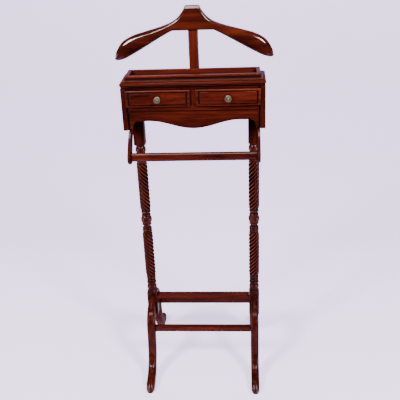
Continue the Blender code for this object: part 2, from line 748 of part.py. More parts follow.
def hanger_ring(x):
    """Rounded section of the hanger at a distance from its middle."""
    top = height_at(HANGER_TOP, abs(x))
    bottom = height_at(HANGER_BOTTOM, abs(x))
    half_height = (top - bottom) / 2
    tip = max(0.0, abs(x) - HANGER_TIP_START) / (HANGER_TIP_END - HANGER_TIP_START)
    half_depth = HANGER_HALF_DEPTH * (1.0 - HANGER_TIP_NARROWING * tip ** 2)
    ring = []
    for i in range(HANGER_SIDES):
        angle = 2 * math.pi * (i + 0.5) / HANGER_SIDES
        y = HANGER_Y + half_depth * rounded(math.cos(angle))
        z = HANGER_SEAT + (top + bottom) / 2 + half_height * rounded(math.sin(angle))
        ring.append((x, y, z))
    return ring


def make_hanger():
    places = sorted({x for x, z in HANGER_TOP + HANGER_BOTTOM[1:]})
    stations = [-x for x in reversed(places[1:])] + places
    add_piece("hanger", loft([hanger_ring(x) for x in stations]), smooth=True)


def make_upright(back_panel):
    """The flat bar that carries the hanger, screwed to the back panel."""
    seat = HANGER_SEAT + HANGER_BOTTOM[0][1] - GAP
    low = (-UPRIGHT_HALF_WIDTH, UPRIGHT_Y[0], UPRIGHT_FOOT)
    upright = add_block("upright", low, (UPRIGHT_HALF_WIDTH, UPRIGHT_Y[1], seat), edge=UPRIGHT_EDGE)
    depth = UPRIGHT_Y[1] - BACK_Y + SCREW_BITE + GAP
    hole = rod_profile(depth, SCREW_HOLE)
    holes = merge([move(turned(hole, SCREW_SIDES, 1), (0.0, UPRIGHT_Y[1], z)) for z in UPRIGHT_SCREW_Z])
    cutter = add_cutter("upright_screw_cutter", holes)
    cut(upright, cutter)
    cut(back_panel, cutter)
    profile = screw_profile(UPRIGHT_Y[1] + GAP, BACK_Y - SCREW_BITE)
    for name, z in zip(("lower_upright_screw", "upper_upright_screw"), UPRIGHT_SCREW_Z):
        screw = move(turned(profile, SCREW_SIDES, 1), (0.0, 0.0, z))
        add_piece(name, screw, colour=STEEL, roughness=0.4, metallic=1.0, smooth=True)


def main():
    clear_scene()
    make_posts()
    make_legs()
    make_stretchers()
    make_top_board()
    make_side_panels()
    back_panel = make_back_panel()
    make_bottom_board()
    make_face_frame()
    make_apron()
    make_guides()
    make_gallery()
    make_drawers()
    make_trouser_bar()
    make_hanger()
    make_upright(back_panel)


main()
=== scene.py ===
"""Looks of the valet stand: finely turned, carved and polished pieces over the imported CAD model.

Metres, in the CAD model's own frame: +Z up, the front faces -Y, left and right as seen from the front.
"""

import math

import bmesh
import bpy
import numpy as np
from mathutils import Matrix, Vector


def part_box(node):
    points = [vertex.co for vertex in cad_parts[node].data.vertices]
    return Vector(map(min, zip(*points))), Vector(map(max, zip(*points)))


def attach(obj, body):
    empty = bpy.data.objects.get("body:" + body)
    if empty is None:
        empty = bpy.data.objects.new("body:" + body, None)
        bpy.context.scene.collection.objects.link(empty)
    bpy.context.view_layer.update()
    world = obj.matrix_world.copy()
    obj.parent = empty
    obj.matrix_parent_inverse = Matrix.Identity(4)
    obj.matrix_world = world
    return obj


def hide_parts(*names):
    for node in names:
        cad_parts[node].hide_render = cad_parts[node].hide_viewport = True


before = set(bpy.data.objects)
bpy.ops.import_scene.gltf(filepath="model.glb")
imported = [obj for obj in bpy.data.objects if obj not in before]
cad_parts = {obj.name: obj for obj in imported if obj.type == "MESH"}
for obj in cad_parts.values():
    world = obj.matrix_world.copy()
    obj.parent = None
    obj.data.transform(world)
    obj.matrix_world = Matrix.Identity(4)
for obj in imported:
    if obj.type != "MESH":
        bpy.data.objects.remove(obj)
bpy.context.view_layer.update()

GAP = 0.0003  # clearance between neighbouring pieces
STAND = "stand"

# Camera, as a photographer would set it up: place, and angles in degrees
CAMERA_PLACE = (0.1386, -1.8822, 1.5275)
CAMERA_YAW = -4.128
CAMERA_DOWN = 25.641
CAMERA_ROLL = -2.410
CAMERA_LENS = 57.6
CAMERA_SENSOR = 36.0

# Stage
FLOOR_HALF_WIDTH = 3.6
FLOOR_FRONT = -0.85
WALL_Y = 3.6
WALL_TOP = 5.0
SWEEP_RADIUS = 1.0
SWEEP_STEPS = 24
FLOOR_DROP = 0.0002
STAGE_COLOUR = (0.81, 0.68, 0.98)
STAGE_GLOW = 1.4
WORLD_COLOUR = (0.86, 0.84, 0.92)
WORLD_STRENGTH = 0.10
CHEST_HEIGHT = (0.0, 0.0, 0.75)
BOX_HEIGHT = (0.0, 0.0, 1.0)
# A pair of each of these, left and right: name, place of the right one, aim, width, height, watts, use
PAIRED_LAMPS = (
    ("key", (1.90, -2.15, 3.00), CHEST_HEIGHT, 0.60, 0.80, 165.0, "light"),
    ("glint", (1.40, -1.55, 2.35), CHEST_HEIGHT, 0.55, 0.70, 215.0, "gloss"),
    ("strip", (1.70, -0.70, 0.40), BOX_HEIGHT, 0.30, 1.20, 50.0, "gloss"),
)
SINGLE_LAMPS = (
    ("overhead", (0.0, -0.2, 3.3), (0.0, 0.1, 0.0), 2.2, 1.6, 12.0, "light"),
    ("overhead_glint", (0.0, 0.0, 3.0), (0.0, 0.0, 0.0), 1.2, 0.8, 110.0, "gloss"),
)

# Wood colours, linear
# Near-black: the pores' own colour, and also the painted shade laid into corners and grooves
PORE_AND_SHADE_DARK = (0.0032, 0.0014, 0.0012)
DARK = (0.0100, 0.0014, 0.0010)
BODY = (0.0430, 0.0048, 0.0028)
LIGHT = (0.1050, 0.0140, 0.0055)
PINE_DARK = (0.200, 0.095, 0.042)
PINE_LIGHT = (0.400, 0.235, 0.125)
BRASS = (0.085, 0.066, 0.046)
BRASS_TARNISH = (0.045, 0.034, 0.024)
STEEL = (0.450, 0.440, 0.420)


# ---- Measurements taken from the CAD model ----

def box(node):
    low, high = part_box(node)
    return Vector(low), Vector(high)


# ---- Materials ----

class Nodes:
    """Short calls for building one material's nodes."""

    def __init__(self, name):
        self.material = bpy.data.materials.new(name)
        self.material.use_nodes = True
        self.tree = self.material.node_tree
        self.shader = self.tree.nodes["Principled BSDF"]

    def new(self, kind, **values):
        node = self.tree.nodes.new(kind)
        for key, value in values.items():
            if key in node.inputs:
                node.inputs[key].default_value = value
            else:
                setattr(node, key, value)
        return node

    def link(self, source, target):
        self.tree.links.new(source, target)

    def math(self, operation, first, second=0.0, clamp=False):
        node = self.new("ShaderNodeMath", operation=operation, use_clamp=clamp)
        for socket, value in zip(node.inputs, (first, second)):
            if isinstance(value, (int, float)):
                socket.default_value = value
            else:
                self.link(value, socket)
        return node.outputs[0]

    def ramp(self, factor, stops):
        node = self.new("ShaderNodeValToRGB")
        elements = node.color_ramp.elements
        while len(elements) < len(stops):
            elements.new(0.5)
        for element, (place, colour) in zip(elements, stops):
            element.position = place
            element.color = (*colour, 1.0)
        self.link(factor, node.inputs[0])
        return node.outputs[0]

    def mix(self, factor, first, second):
        node = self.new("ShaderNodeMix", data_type="RGBA")
        for socket, value in zip((node.inputs[0], node.inputs[6], node.inputs[7]), (factor, first, second)):
            if isinstance(value, (int, float)):
                socket.default_value = value
            elif isinstance(value, tuple):
                socket.default_value = (*value, 1.0)
            else:
                self.link(value, socket)
        return node.outputs[2]

    def noise(self, vector, scale, detail=3.0, roughness=0.5, distortion=0.0):
        node = self.new("ShaderNodeTexNoise", Scale=scale, Detail=detail, Roughness=roughness,
                        Distortion=distortion)
        self.link(vector, node.inputs["Vector"])
        return node.outputs["Fac"]


GRAIN_STRETCH = {"x": (1.0, 9.0, 9.0), "y": (9.0, 1.0, 9.0), "z": (9.0, 9.0, 1.0)}


def grain_vector(nodes, axis, seed, tilt=(0.0, 0.0, 0.0)):
    """Object coordinates, squeezed along the grain and shifted to a part of the timber of their own."""
    place = nodes.new("ShaderNodeTexCoord")
    turn = nodes.new("ShaderNodeMapping", Rotation=tilt, Location=(seed * 0.37, seed * 0.61, seed * 0.23))
    squeeze = nodes.new("ShaderNodeMapping", Scale=GRAIN_STRETCH[axis])
    nodes.link(place.outputs["Object"], turn.inputs["Vector"])
    nodes.link(turn.outputs[0], squeeze.inputs["Vector"])
    return squeeze.outputs[0]


def mahogany(name, axis, seed, painted_lighting_scale=1.0, tilt=(0.0, 0.0, 0.0), gloss=0.17):
    """Stained and polished mahogany: streaked grain, pores, painted shade in corners and grooves, worn
    arrises, and crests lightened by wear and a painted highlight.
    """
    nodes = Nodes(name)
    grain = grain_vector(nodes, axis, seed, tilt)
    streaks = nodes.noise(grain, 7.0, detail=6.0, roughness=0.62, distortion=0.35)
    clouds = nodes.noise(grain, 1.6, detail=2.0)
    pores = nodes.noise(grain, 95.0, detail=2.0, roughness=0.7)
    figure = nodes.math("ADD", nodes.math("MULTIPLY", streaks, 0.68), nodes.math("MULTIPLY", clouds, 0.32))
    # Painted light and shade: the whole colour of a piece is scaled for how much light reaches it
    body = tuple(painted_lighting_scale * value for value in BODY)
    light = tuple(painted_lighting_scale * value for value in LIGHT)
    colour = nodes.ramp(figure, [(0.34, DARK), (0.50, body), (0.66, light)])
    pore_mask = nodes.math("MULTIPLY", nodes.math("SUBTRACT", pores, 0.56, clamp=True), 4.5, clamp=True)
    colour = nodes.mix(nodes.math("MULTIPLY", pore_mask, 0.55), colour, PORE_AND_SHADE_DARK)

    point = nodes.new("ShaderNodeNewGeometry").outputs["Pointiness"]
    wear = nodes.math("MULTIPLY", nodes.math("SUBTRACT", point, 0.525, clamp=True), 7.0, clamp=True)
    # Lighter colour for worn arrises, and for twist crests, where it is part wear and part painted highlight
    wear_and_highlight = tuple(min(1.0, 1.7 * value) for value in light)
    colour = nodes.mix(nodes.math("MULTIPLY", wear, 0.35), colour, wear_and_highlight)

    # 'recess' paints shade into grooves and hollows (1) and lightens rubbed crests (-1)
    recess = nodes.new("ShaderNodeAttribute", attribute_name="recess").outputs["Fac"]
    crest_wear_and_highlight = nodes.math("MULTIPLY", recess, -1.0, clamp=True)
    colour = nodes.mix(nodes.math("MULTIPLY", crest_wear_and_highlight, 0.75), colour, wear_and_highlight)
    # Painted shade in corners: ambient occlusion darkens where neighbouring surfaces shut out light
    corner = nodes.new("ShaderNodeAmbientOcclusion", samples=6)
    corner.inputs["Distance"].default_value = 0.012
    occlusion_shade = nodes.math("SUBTRACT", 1.0, corner.outputs["AO"], clamp=True)
    occlusion_shade = nodes.math("MULTIPLY", nodes.math("SUBTRACT", occlusion_shade, 0.12, clamp=True), 2.0, clamp=True)
    painted_shade = nodes.math("MULTIPLY", nodes.math("MAXIMUM", recess, occlusion_shade), 0.93)
    colour = nodes.mix(painted_shade, colour, PORE_AND_SHADE_DARK)
    nodes.link(colour, nodes.shader.inputs["Base Color"])

    smudge = nodes.noise(grain, 3.0, detail=4.0)
    rough = nodes.math("ADD", nodes.math("MULTIPLY", smudge, 0.16), 0.20)
    rough = nodes.math("ADD", rough, nodes.math("MULTIPLY", painted_shade, 0.12))
    nodes.link(rough, nodes.shader.inputs["Roughness"])
    ridges = nodes.math("MULTIPLY", streaks, 0.35)
    height = nodes.math("SUBTRACT", ridges, nodes.math("MULTIPLY", pore_mask, 0.65))
    bump = nodes.new("ShaderNodeBump", Strength=0.06, Distance=0.0003)
    nodes.link(height, bump.inputs["Height"])
    nodes.link(bump.outputs[0], nodes.shader.inputs["Normal"])
    coat = nodes.math("SUBTRACT", 1.0, nodes.math("MULTIPLY", painted_shade, 0.92), clamp=True)
    nodes.link(nodes.math("MULTIPLY", coat, gloss), nodes.shader.inputs["Coat Weight"])
    nodes.shader.inputs["Coat Roughness"].default_value = 0.10
    nodes.shader.inputs["Specular IOR Level"].default_value = 0.0
    return nodes.material


def pine(name, axis, seed):
    """Plain secondary wood: pale, dry and matt, with soft growth rings."""
    nodes = Nodes(name)
    grain = grain_vector(nodes, axis, seed)
    rings = nodes.noise(grain, 5.0, detail=5.0, roughness=0.55, distortion=0.6)
    fibres = nodes.noise(grain, 70.0, detail=2.0)
    colour = nodes.ramp(rings, [(0.36, PINE_DARK), (0.62, PINE_LIGHT)])
    colour = nodes.mix(nodes.math("MULTIPLY", fibres, 0.30), colour, PINE_DARK)
    nodes.link(colour, nodes.shader.inputs["Base Color"])
    rough = nodes.math("ADD", nodes.math("MULTIPLY", fibres, 0.20), 0.55)
    nodes.link(rough, nodes.shader.inputs["Roughness"])
    bump = nodes.new("ShaderNodeBump", Strength=0.15, Distance=0.0004)
    nodes.link(fibres, bump.inputs["Height"])
    nodes.link(bump.outputs[0], nodes.shader.inputs["Normal"])
    return nodes.material


def metal(name, clean, tarnish, amount, scale=55.0):
    """Handled metal: bright on the high spots, tarnished in patches and in its grooves."""
    nodes = Nodes(name)
    place = nodes.new("ShaderNodeTexCoord").outputs["Object"]
    patches = nodes.noise(place, scale, detail=5.0, roughness=0.65)
    speckle = nodes.noise(place, 9.0 * scale, detail=2.0)
    recess = nodes.new("ShaderNodeAttribute", attribute_name="recess").outputs["Fac"]
    dull = nodes.math("MULTIPLY", nodes.math("SUBTRACT", patches, 0.42, clamp=True), 3.0 * amount, clamp=True)
    dull = nodes.math("MAXIMUM", dull, nodes.math("MULTIPLY", recess, 0.92))
    nodes.link(nodes.mix(dull, clean, tarnish), nodes.shader.inputs["Base Color"])
    rough = nodes.math("ADD", nodes.math("MULTIPLY", dull, 0.16), 0.34)
    rough = nodes.math("ADD", rough, nodes.math("MULTIPLY", speckle, 0.08))
    nodes.link(rough, nodes.shader.inputs["Roughness"])
    nodes.shader.inputs["Metallic"].default_value = 1.0
    bump = nodes.new("ShaderNodeBump", Strength=0.12, Distance=0.0002)
    nodes.link(speckle, bump.inputs["Height"])
    nodes.link(bump.outputs[0], nodes.shader.inputs["Normal"])
    return nodes.material


def stage_paper():
    nodes = Nodes("stage_paper")
    place = nodes.new("ShaderNodeTexCoord").outputs["Object"]
    clouds = nodes.noise(place, 0.9, detail=3.0)
    darker = tuple(0.95 * value for value in STAGE_COLOUR)
    nodes.link(nodes.ramp(clouds, [(0.3, darker), (0.7, STAGE_COLOUR)]), nodes.shader.inputs["Base Color"])
    nodes.shader.inputs["Roughness"].default_value = 0.85
    nodes.shader.inputs["Emission Color"].default_value = (*STAGE_COLOUR, 1.0)
    nodes.shader.inputs["Emission Strength"].default_value = STAGE_GLOW
    return nodes.material


# ---- Mesh building ----

SHARP_ANGLE = 38
EASED_ANGLE = 40


def circle(count, radius=1.0):
    """Points of a circle, as (cosine, sine) times its radius."""
    for i in range(count):
        angle = 2 * math.pi * i / count
        yield radius * math.cos(angle), radius * math.sin(angle)


def quarter_turn(steps):
    """Angles of a quarter of a circle, in even steps."""
    return [math.pi / 2 * i / steps for i in range(steps + 1)]


def place_piece(piece, body, nodes):
    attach(piece, body)
    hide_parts(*nodes)


def mesh_object(name, verts, faces, material, recess=None):
    """A smooth-shaded mesh whose 'recess' is 1 where painted shade (on wood) or tarnish (on metal) darkens
    it, and -1 where a crest is lightened by wear and a painted highlight.
    """
    mesh = bpy.data.meshes.new(name)
    mesh.from_pydata([tuple(v) for v in verts], [], [tuple(f) for f in faces])
    bm = bmesh.new()
    bm.from_mesh(mesh)
    bmesh.ops.recalc_face_normals(bm, faces=bm.faces)
    bm.to_mesh(mesh)
    bm.free()
    if recess is not None:
        layer = mesh.attributes.new("recess", "FLOAT", "POINT")
        layer.data.foreach_set("value", np.asarray(recess, dtype=np.float32))
    mesh.shade_smooth()
    mesh.set_sharp_from_angle(angle=math.radians(SHARP_ANGLE))
    mesh.materials.append(material)
    piece = bpy.data.objects.new(name, mesh)
    bpy.context.collection.objects.link(piece)
    return piece


def tube_faces(rows, columns):
    """Quads over rows of closed rings, with a cap at each end."""
    faces = []
    for row in range(rows - 1):
        for i in range(columns):
            j = (i + 1) % columns
            a = row * columns
            b = a + columns
            faces.append((a + i, a + j, b + j, b + i))
    faces.append(tuple(range(columns)))
    last = (rows - 1) * columns
    faces.append(tuple(last + i for i in reversed(range(columns))))
    return faces


def loft(name, rings, material, recess=None):
    """A closed piece through a row of rings."""
    verts = [point for ring in rings for point in ring]
    return mesh_object(name, verts, tube_faces(len(rings), len(rings[0])), material, recess)


def ease_edges(piece, width, segments=4):
    bevel = piece.modifiers.new("eased_edges", "BEVEL")
    bevel.width = width
    bevel.segments = segments
    bevel.limit_method = "ANGLE"
    bevel.angle_limit = math.radians(EASED_ANGLE)
    bevel.harden_normals = True
    return piece


def board(name, node, material, edge):
    """A board of a node's own size, with softened arrises."""
    low, high = box(node)
    ring = [(low.x, low.y), (high.x, low.y), (high.x, high.y), (low.x, high.y)]
    rings = [[(x, y, z) for x, y in ring] for z in (low.z, high.z)]
    piece = loft(name, rings, material)
    return ease_edges(piece, edge)


def prism(name, outline, axis, low, high, material, edge):
    """An outline across one axis, carried along it, with softened arrises."""
    rings = []
    for place in (low, high):
        ring = []
        for first, second in outline:
            point = [first, second]
            point.insert(axis, place)
            ring.append(tuple(point))
        rings.append(ring)
    return ease_edges(loft(name, rings, material), edge, segments=3)


def curve_through(points, steps):
    """A smooth (Catmull-Rom) curve through points."""
    points = np.asarray(points, dtype=float)
    padded = np.vstack([points[:1], points, points[-1:]])
    t = np.arange(steps)[:, None] / steps
    pieces = []
    for p, q, r, s in zip(padded, padded[1:], padded[2:], padded[3:]):
        cubic = (2 * q + (r - p) * t + (2 * p - 5 * q + 4 * r - s) * t ** 2
                 + (3 * q - p - 3 * r + s) * t ** 3)
        pieces.append(0.5 * cubic)
    pieces.append(points[-1:])
    return np.vstack(pieces)


# ---- Posts ----

POST_SIDES = 96
TWIST_STRANDS = 8
TWIST_TURNS = 1.5
TWIST_ROWS = 132
TWIST_CREST = 0.0177
TWIST_DEPTH = 0.0048
TWIST_RUN_OUT = 0.06
TWIST_ROUNDNESS = 0.85
TWIST_END_DROP = 0.0018
TWIST_END_SHARE = 0.25
# Twist grooves get painted shade below VALLEY_START; crests above CREST_START are lightened, part wear and
# part painted highlight
VALLEY_START, VALLEY_FADE = 0.92, 0.26
CREST_START, CREST_FADE = 0.93, 0.07
BLOCK_POWER = 30
BLOCK_EASE = [(0.0, 0.0012), (0.0004, 0.0005), (0.0012, 0.0)]

# Turned mouldings down the post: (top, foot, radius at top, radius in the middle, radius at foot)
UPPER_MOULDINGS = [
    (0.8190, 0.8140, 0.0146, 0.0128, 0.0122), (0.8140, 0.7890, 0.0120, 0.0165, 0.0118),
    (0.7890, 0.7865, 0.0118, 0.0118, 0.0118), (0.7865, 0.7800, 0.0118, 0.0110, 0.0122),
    (0.7800, 0.7730, 0.0122, 0.0150, 0.0122), (0.7730, 0.7655, 0.0122, 0.0158, 0.0122),
    (0.7655, 0.7580, 0.0126, 0.0165, 0.0132),
]
MIDDLE_MOULDINGS = [
    (0.5905, 0.5872, 0.0136, 0.0126, 0.0122), (0.5872, 0.5788, 0.0122, 0.0162, 0.0120),
    (0.5788, 0.5738, 0.0118, 0.0112, 0.0116), (0.5738, 0.5668, 0.0118, 0.0155, 0.0124),
    (0.5668, 0.5402, 0.0128, 0.0182, 0.0126), (0.5402, 0.5330, 0.0120, 0.0157, 0.0116),
    (0.5330, 0.5255, 0.0112, 0.0105, 0.0112), (0.5255, 0.5198, 0.0116, 0.0156, 0.0120),
    (0.5198, 0.5136, 0.0120, 0.0161, 0.0120), (0.5136, 0.5072, 0.0120, 0.0157, 0.0120),
    (0.5072, 0.5044, 0.0122, 0.0122, 0.0136),
]
LOWER_MOULDINGS = [
    (0.3361, 0.3330, 0.0136, 0.0126, 0.0122), (0.3330, 0.3256, 0.0124, 0.0162, 0.0120),
    (0.3256, 0.3224, 0.0118, 0.0114, 0.0116), (0.3224, 0.3150, 0.0118, 0.0157, 0.0118),
    (0.3150, 0.3118, 0.0116, 0.0114, 0.0122), (0.3118, 0.3042, 0.0126, 0.0167, 0.0122),
    (0.3042, 0.2990, 0.0118, 0.0112, 0.0122), (0.2990, 0.2800, 0.0130, 0.0168, 0.0122),
    (0.2800, 0.2715, 0.0118, 0.0102, 0.0128),
]
UPPER_TWIST = (0.7575, 0.5910)
LOWER_TWIST = (0.5040, 0.3365)
SHOULDER_HEIGHT = 0.0075
SHOULDER_STEPS = 12
SHOULDER_FOOT_RADIUS = 0.0146
SHOULDER_CORNER_RADIUS = 0.0252
MOULDING_STEP = 0.0007
MOULDING_FULLNESS = 0.62
# A valley this far below its neighbours gets full painted shade
MOULDING_REACH = 0.0030
MOULDING_HOLLOW = 0.0016
# Painted shade on the upper block, under the box, and a third as much on its shoulder
UPPER_BLOCK_PAINTED_SHADE = 0.85


def moulding_rows(mouldings):
    """(height, radius) down a run of beads, coves and fillets."""
    rows = []
    for top, foot, first, middle, last in mouldings:
        count = max(4, round((top - foot) / MOULDING_STEP))
        for i in range(count):
            t = (i + 0.5) / count
            straight = first + (last - first) * t
            bulge = math.sin(math.pi * t) ** MOULDING_FULLNESS
            rows.append((top - (top - foot) * t, straight + (middle - straight) * bulge))
    return rows


def make_post(side, name):
    """A post with square blocks, turned mouldings and two carved rope twists."""
    low, high = box(name)
    x = side * (abs(low.x) + abs(high.x)) / 2
    half = abs(x) - box("centre_stretcher")[1].x - GAP
    sweep = np.arange(POST_SIDES) * 2 * math.pi / POST_SIDES
    rings = []
    hollows = []

    def add(z, radius, hollow):
        rings.append(np.column_stack([x + radius * np.cos(sweep), radius * np.sin(sweep),
                                      np.full(POST_SIDES, z)]))
        hollows.append(hollow)

    cosine, sine = np.abs(np.cos(sweep)), np.abs(np.sin(sweep))
    square = half / (cosine ** BLOCK_POWER + sine ** BLOCK_POWER) ** (1 / BLOCK_POWER)
    no_hollow = np.zeros(POST_SIDES)

    def add_block(top, foot, shoulder_at_foot):
        """Block rows downwards: an eased free end, plain sides and a turned shoulder."""
        shoulder = []
        for i in range(SHOULDER_STEPS + 1):
            t = i / SHOULDER_STEPS
            swell = (SHOULDER_CORNER_RADIUS - SHOULDER_FOOT_RADIUS) * math.sqrt(1.0 - t ** 2)
            shoulder.append((SHOULDER_HEIGHT * t, SHOULDER_FOOT_RADIUS + swell))
        if shoulder_at_foot:
            # Painted shade on the upper block and its shoulder
            for drop, inset in BLOCK_EASE:
                add(top - drop, square - inset, no_hollow + UPPER_BLOCK_PAINTED_SHADE)
            add((top + foot) / 2, square, no_hollow + UPPER_BLOCK_PAINTED_SHADE)
            for drop, limit in shoulder:
                add(foot - drop, np.minimum(square, limit), no_hollow + UPPER_BLOCK_PAINTED_SHADE / 3)
        else:
            for drop, limit in reversed(shoulder):
                add(top + drop, np.minimum(square, limit), no_hollow)
            add((top + foot) / 2, square, no_hollow)
            for drop, inset in reversed(BLOCK_EASE):
                add(foot + drop, square - inset, no_hollow)

    def add_mouldings(mouldings):
        rows = moulding_rows(mouldings)
        heights = np.array([row[0] for row in rows])
        radius = np.array([row[1] for row in rows])
        spread = np.exp(-((heights[:, None] - heights[None, :]) / MOULDING_REACH) ** 2)
        local = (spread @ radius) / spread.sum(axis=1)
        # Painted shade in the valleys between beads
        hollow = np.clip((local - radius) / MOULDING_HOLLOW, 0.0, 1.0)
        for z, r, h in zip(heights, radius, hollow):
            add(z, np.full(POST_SIDES, r), np.full(POST_SIDES, h))

    def add_twist(span):
        for row in range(TWIST_ROWS + 1):
            t = row / TWIST_ROWS
            fade = min(1.0, t / TWIST_RUN_OUT, (1.0 - t) / TWIST_RUN_OUT)
            fade = math.sin(fade * math.pi / 2)
            wind = sweep + side * 2 * math.pi * TWIST_TURNS * t
            ridge = np.abs(np.cos(wind * TWIST_STRANDS / 2)) ** TWIST_ROUNDNESS
            crest = TWIST_CREST - TWIST_END_DROP * (1.0 - fade)
            cut = TWIST_DEPTH * (TWIST_END_SHARE + (1.0 - TWIST_END_SHARE) * fade)
            # Painted shade in the grooves
            valley = np.clip((VALLEY_START - ridge) / VALLEY_FADE, 0.0, 1.0)
            # Crests lightened: part wear, part painted highlight
            crest_wear_and_highlight = np.clip((ridge - CREST_START) / CREST_FADE, 0.0, 1.0)
            add(span[0] + (span[1] - span[0]) * t, crest - cut * (1.0 - ridge), valley - crest_wear_and_highlight)

    add_block(high.z, UPPER_MOULDINGS[0][0] + SHOULDER_HEIGHT, True)
    add_mouldings(UPPER_MOULDINGS)
    add_twist(UPPER_TWIST)
    add_mouldings(MIDDLE_MOULDINGS)
    add_twist(LOWER_TWIST)
    add_mouldings(LOWER_MOULDINGS)
    add_block(LOWER_MOULDINGS[-1][1] - SHOULDER_HEIGHT, low.z, False)
    material = mahogany(f"{name}_wood", "z", 3 + side)
    piece = loft(f"{name}_turned", rings, material, recess=np.concatenate(hollows))
    place_piece(piece, STAND, [name])


# ---- Legs ----

LEG_HALF_WIDTH = 0.0135
LEG_ROWS = 10
LEG_ROUND = 0.0115
LEG_EASE = 0.0045
LEG_ROUND_SHARE = 0.6
LEG_EASE_SHARE = 0.3
LEG_BACK_STEPS = 32
LEG_ARRIS_STEPS = 6
LEG_GRAIN_TILT = 0.35
LEG_OUTER = [
    (0.0178, 0.2580), (0.0520, 0.2480), (0.0850, 0.2270), (0.1040, 0.1900), (0.1130, 0.1300),
    (0.1260, 0.0780), (0.1560, 0.0450), (0.1980, 0.0330), (0.2255, 0.0115),
]
LEG_INNER = [
    (0.0178, 0.1840), (0.0400, 0.1850), (0.0560, 0.1790), (0.0680, 0.1620), (0.0790, 0.1220),
    (0.0950, 0.0700), (0.1330, 0.0220), (0.1860, 0.0000), (0.2200, 0.0000),
]
TOE_START = 0.2060
TOE_END = 0.2260
TOE_NARROWING = 0.55
ROOT_NARROWING = 0.14
KNEE_SHARE = 0.33


def leg_section(half, depth):
    """Points around a leg's section, as (across, outwards): a half-round back and eased inner arrises."""
    round_part = min(LEG_ROUND, LEG_ROUND_SHARE * depth)
    ease = min(LEG_EASE, LEG_EASE_SHARE * depth)
    section = []
    for angle in quarter_turn(LEG_ARRIS_STEPS):
        section.append((-half + ease * (1 - math.sin(angle)), ease * (1 - math.cos(angle))))
    for i in range(LEG_BACK_STEPS + 1):
        angle = math.pi * i / LEG_BACK_STEPS
        section.append((-half * math.cos(angle), depth - round_part + round_part * math.sin(angle) ** 0.9))
    for angle in reversed(quarter_turn(LEG_ARRIS_STEPS)):
        section.append((half - ease * (1 - math.sin(angle)), ease * (1 - math.cos(angle))))
    return section


def make_leg(side, facing, name):
    """A leg that swings out from the post's foot, down over a knee and out again to its toe."""
    outer = curve_through(LEG_OUTER, LEG_ROWS)
    inner = curve_through(LEG_INNER, LEG_ROWS)
    inner[:, 1] = np.maximum(inner[:, 1], 0.0)
    post_low, post_high = box("left_post")
    x = side * (abs(post_low.x) + abs(post_high.x)) / 2
    rings = []
    for row, (far, near) in enumerate(zip(outer, inner)):
        share = row / (len(outer) - 1)
        toe = max(0.0, (far[0] - TOE_START) / (TOE_END - TOE_START))
        root = max(0.0, 1.0 - share / KNEE_SHARE)
        half = LEG_HALF_WIDTH * (1.0 - TOE_NARROWING * toe ** 2.5 - ROOT_NARROWING * root)
        depth = math.dist(far, near)
        across = (far - near) / depth
        ring = []
        for u, v in leg_section(half, depth):
            ring.append((x + u, facing * (near[0] + across[0] * v), near[1] + across[1] * v))
        rings.append(ring)
    # Painted shade: the legs' wood is made darker, as less light reaches them low down
    material = mahogany(f"{name}_wood", "z", 11 + side + 2.5 * facing, painted_lighting_scale=0.85,
                        tilt=(facing * LEG_GRAIN_TILT, 0.0, 0.0), gloss=0.09)
    piece = loft(f"{name}_carved", rings, material)
    place_piece(piece, STAND, [name])


# ---- Hanger ----

HANGER_SEAT = 1.1600
HANGER_TOP = [
    (0.0000, 0.0735), (0.0120, 0.0735), (0.0205, 0.0732), (0.0222, 0.0700), (0.0250, 0.0640),
    (0.0325, 0.0528), (0.0450, 0.0390), (0.0650, 0.0262), (0.1000, 0.0139), (0.1500, 0.0004),
    (0.1800, -0.0086), (0.2050, -0.0208), (0.2200, -0.0339), (0.2320, -0.0520), (0.2370, -0.0650),
    (0.2385, -0.0745),
]
HANGER_BOTTOM = [
    (0.0000, 0.0028), (0.0500, 0.0028), (0.0580, 0.0024), (0.0660, 0.0005), (0.1000, -0.0179),
    (0.1500, -0.0465), (0.1900, -0.0682), (0.2100, -0.0775), (0.2250, -0.0815), (0.2340, -0.0812),
    (0.2385, -0.0790),
]
HANGER_CURVE_STEPS = 12
HANGER_STATIONS = 150
HANGER_CROWDING = 1.35  # stations stand closer together towards the tips
HANGER_SIDES = 72
HANGER_TIP_START = 0.86
HANGER_TIP_NARROWING = 0.5
HANGER_TIP_POWER = 2.2
CROWN_SQUARENESS, SHOULDER_SOFTENING = 0.42, 0.48
SOFTENING_START, SOFTENING_LENGTH = 0.12, 0.40
CROWN_HALF = 0.0215
CROWN_CHAMFER = 0.0085
CROWN_CHAMFER_RUN_OUT = 0.0010
THINNEST_HALF = 0.0008


